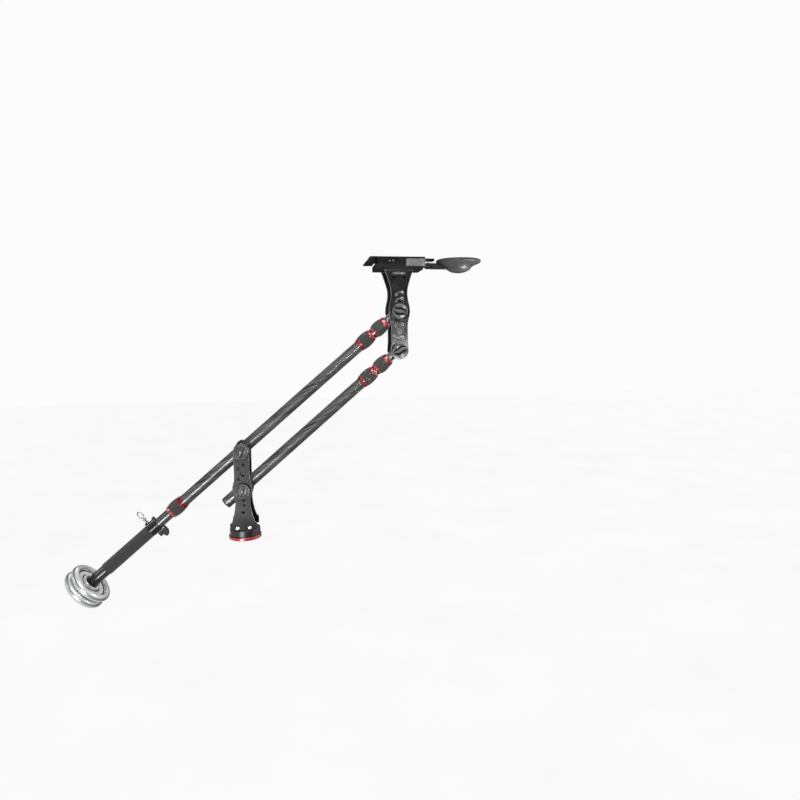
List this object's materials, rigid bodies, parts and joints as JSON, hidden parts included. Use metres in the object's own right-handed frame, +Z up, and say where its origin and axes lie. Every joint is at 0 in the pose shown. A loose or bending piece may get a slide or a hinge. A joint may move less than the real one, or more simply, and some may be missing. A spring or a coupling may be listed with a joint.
{
  "type": "camera jib crane",
  "caption": "Telescopic camera jib: parallel carbon tubes between a base bracket and a camera head with a clamp and palm handle, twist locks, and disc weights on a sliding rear tube.",
  "frame": {"origin": "centre of the underside of the red ring that is screwed down on a tripod, on the pan axis", "axes": "+Z up along the pan axis, +X from the base towards the camera head with the boom as stored, +Y away from the clamping knobs"},
  "size_m": [1.0282, 0.114, 0.8388],
  "materials": {
    "carbon": "carbon fibre laminate under clear gloss",
    "red_anodised": "red anodised, polished",
    "bracket_grey": "fine textured powder coat",
    "bracket_black": "satin black coat",
    "gloss_black": "gloss black",
    "satin_black": "satin black",
    "handle_black": "satin moulded plastic",
    "knob_grey": "satin dark grey",
    "alloy": "machined",
    "steel": "plated",
    "chrome": "polished chrome plate",
    "brass": "machined",
    "nylon": "natural nylon",
    "plastic": "moulded",
    "foam": "matte grip sleeve"
  },
  "bodies": {
    "tripod_mount": {"tripod_ring": "red_anodised", "thread_insert": "brass", "pan_nut": "steel", "pan_washer": "nylon"},
    "base": {"pan_disc": "gloss_black", "base_block": "alloy", "base_plate_near": "bracket_grey", "base_plate_far": "bracket_grey", "base_bolt_1": "steel", "base_bolt_2": "steel"},
    "upper_boom": {"upper_tube": "carbon", "upper_saddle": "alloy", "base_upper_nut": "steel", "upper_collet_1": "plastic", "rear_collet": "plastic"},
    "lower_boom": {"lower_tube": "carbon", "lower_end_cap": "gloss_black", "lower_saddle": "alloy", "base_lower_nut": "steel", "lower_collet_1": "plastic"},
    "upper_mid": {"upper_mid_tube": "carbon", "upper_collet_2": "plastic"},
    "lower_mid": {"lower_mid_tube": "carbon", "lower_collet_2": "plastic"},
    "upper_inner": {"upper_inner_tube": "carbon", "upper_head_eye": "alloy", "head_upper_nut": "steel"},
    "lower_inner": {"lower_inner_tube": "carbon", "lower_head_eye": "alloy", "head_lower_nut": "steel"},
    "head": {"head_plate_near": "bracket_black", "head_plate_far": "bracket_black", "head_block": "alloy", "head_bolt_1": "satin_black", "head_bolt_2": "satin_black", "clamp_base": "bracket_black", "clamp_body": "bracket_black", "handle_pin": "steel"},
    "rear": {"rear_tube": "carbon"},
    "tail": {"tail_tube": "gloss_black", "tail_grip": "foam", "tail_collar": "satin_black", "tail_plug": "gloss_black", "weight_front": "chrome", "weight_rear": "chrome"},
    "upper_lock_1": {"upper_lock_1": "red_anodised"},
    "upper_lock_2": {"upper_lock_2": "red_anodised"},
    "lower_lock_1": {"lower_lock_1": "red_anodised"},
    "lower_lock_2": {"lower_lock_2": "red_anodised"},
    "rear_lock": {"rear_lock": "red_anodised"},
    "base_upper_knob": {"base_upper_knob": "knob_grey"},
    "base_lower_knob": {"base_lower_knob": "knob_grey"},
    "head_upper_knob": {"head_upper_knob": "knob_grey"},
    "head_lower_knob": {"head_lower_knob": "knob_grey"},
    "jaw": {"clamp_jaw": "alloy"},
    "camera_plate": {"camera_plate": "bracket_black"},
    "camera_screw": {"camera_screw": "steel"},
    "palm_handle": {"palm_handle": "handle_black"},
    "thumb_screw": {"tail_thumb_screw": "steel"},
    "weight_nut": {"weight_nut": "steel"}
  },
  "joints": [
    {"name": "pan", "type": "hinge", "parent": "tripod_mount", "child": "base", "pos_m": [0, 0, 0], "axis": [0, 0, 1], "continuous": true},
    {"name": "boom_tilt", "type": "hinge", "parent": "base", "child": "upper_boom", "pos_m": [0, 0, 0.221], "axis": [0, -1, 0], "range_deg": [-80, 19.5]},
    {"name": "lower_tilt", "type": "hinge", "parent": "base", "child": "lower_boom", "pos_m": [0, 0, 0.125], "axis": [0, -1, 0], "range_deg": [-80, 19.5]},
    {"name": "upper_mid_slide", "type": "slide", "parent": "upper_boom", "child": "upper_mid", "axis": [0.7604, 0, 0.6494], "range_m": [0, 0.37]},
    {"name": "upper_inner_slide", "type": "slide", "parent": "upper_mid", "child": "upper_inner", "axis": [0.7604, 0, 0.6494], "range_m": [0, 0.37]},
    {"name": "lower_mid_slide", "type": "slide", "parent": "lower_boom", "child": "lower_mid", "axis": [0.7604, 0, 0.6494], "range_m": [0, 0.37]},
    {"name": "lower_inner_slide", "type": "slide", "parent": "lower_mid", "child": "lower_inner", "axis": [0.7604, 0, 0.6494], "range_m": [0, 0.37]},
    {"name": "head_level", "type": "hinge", "parent": "upper_inner", "child": "head", "pos_m": [0.39161, 0, 0.55547], "axis": [0, -1, 0], "range_deg": [-19.5, 80]},
    {"name": "rear_slide", "type": "slide", "parent": "upper_boom", "child": "rear", "axis": [-0.7604, 0, -0.6494], "range_m": [0, 0.13]},
    {"name": "tail_slide", "type": "slide", "parent": "rear", "child": "tail", "axis": [-0.7604, 0, -0.6494], "range_m": [0, 0.14]},
    {"name": "upper_lock_1_turn", "type": "hinge", "parent": "upper_boom", "child": "upper_lock_1", "pos_m": [0, 0, 0.221], "axis": [0.7604, 0, 0.6494], "range_deg": [0, 90]},
    {"name": "upper_lock_2_turn", "type": "hinge", "parent": "upper_mid", "child": "upper_lock_2", "pos_m": [0, 0, 0.221], "axis": [0.7604, 0, 0.6494], "range_deg": [0, 90]},
    {"name": "lower_lock_1_turn", "type": "hinge", "parent": "lower_boom", "child": "lower_lock_1", "pos_m": [0, 0, 0.125], "axis": [0.7604, 0, 0.6494], "range_deg": [0, 90]},
    {"name": "lower_lock_2_turn", "type": "hinge", "parent": "lower_mid", "child": "lower_lock_2", "pos_m": [0, 0, 0.125], "axis": [0.7604, 0, 0.6494], "range_deg": [0, 90]},
    {"name": "rear_lock_turn", "type": "hinge", "parent": "upper_boom", "child": "rear_lock", "pos_m": [0, 0, 0.221], "axis": [0.7604, 0, 0.6494], "range_deg": [-90, 0]},
    {"name": "base_upper_knob_turn", "type": "hinge", "parent": "upper_boom", "child": "base_upper_knob", "pos_m": [0, 0, 0.221], "axis": [0, -1, 0], "range_deg": [0, 180]},
    {"name": "base_lower_knob_turn", "type": "hinge", "parent": "lower_boom", "child": "base_lower_knob", "pos_m": [0, 0, 0.125], "axis": [0, -1, 0], "range_deg": [0, 180]},
    {"name": "head_upper_knob_turn", "type": "hinge", "parent": "upper_inner", "child": "head_upper_knob", "pos_m": [0.39161, 0, 0.55547], "axis": [0, -1, 0], "range_deg": [0, 180]},
    {"name": "head_lower_knob_turn", "type": "hinge", "parent": "lower_inner", "child": "head_lower_knob", "pos_m": [0.39161, 0, 0.45947], "axis": [0, -1, 0], "range_deg": [0, 180]},
    {"name": "jaw_slide", "type": "slide", "parent": "head", "child": "jaw", "axis": [0, -1, 0], "range_m": [0, 0.002]},
    {"name": "plate_slide", "type": "slide", "parent": "head", "child": "camera_plate", "axis": [1, 0, 0], "range_m": [-0.03, 0]},
    {"name": "camera_screw_slide", "type": "slide", "parent": "camera_plate", "child": "camera_screw", "axis": [1, 0, 0], "range_m": [-0.02, 0.02]},
    {"name": "handle_swing", "type": "hinge", "parent": "head", "child": "palm_handle", "pos_m": [0.47161, 0, 0.66747], "axis": [0, 0, 1], "range_deg": [-60, 60]},
    {"name": "thumb_screw_turn", "type": "hinge", "parent": "tail", "child": "thumb_screw", "pos_m": [-0.21748, 0, 0.03526], "axis": [-0.6494, 0, 0.7604], "range_deg": [0, 180]},
    {"name": "weight_nut_turn", "type": "hinge", "parent": "tail", "child": "weight_nut", "pos_m": [0, 0, 0.221], "axis": [0.7604, 0, 0.6494], "range_deg": [0, 180]}
  ],
  "couplings": [
    {"joint": "lower_tilt", "follows": "boom_tilt", "ratio": 1},
    {"joint": "head_level", "follows": "boom_tilt", "ratio": -1},
    {"joint": "lower_mid_slide", "follows": "upper_mid_slide", "ratio": 1},
    {"joint": "lower_inner_slide", "follows": "upper_inner_slide", "ratio": 1}
  ]
}
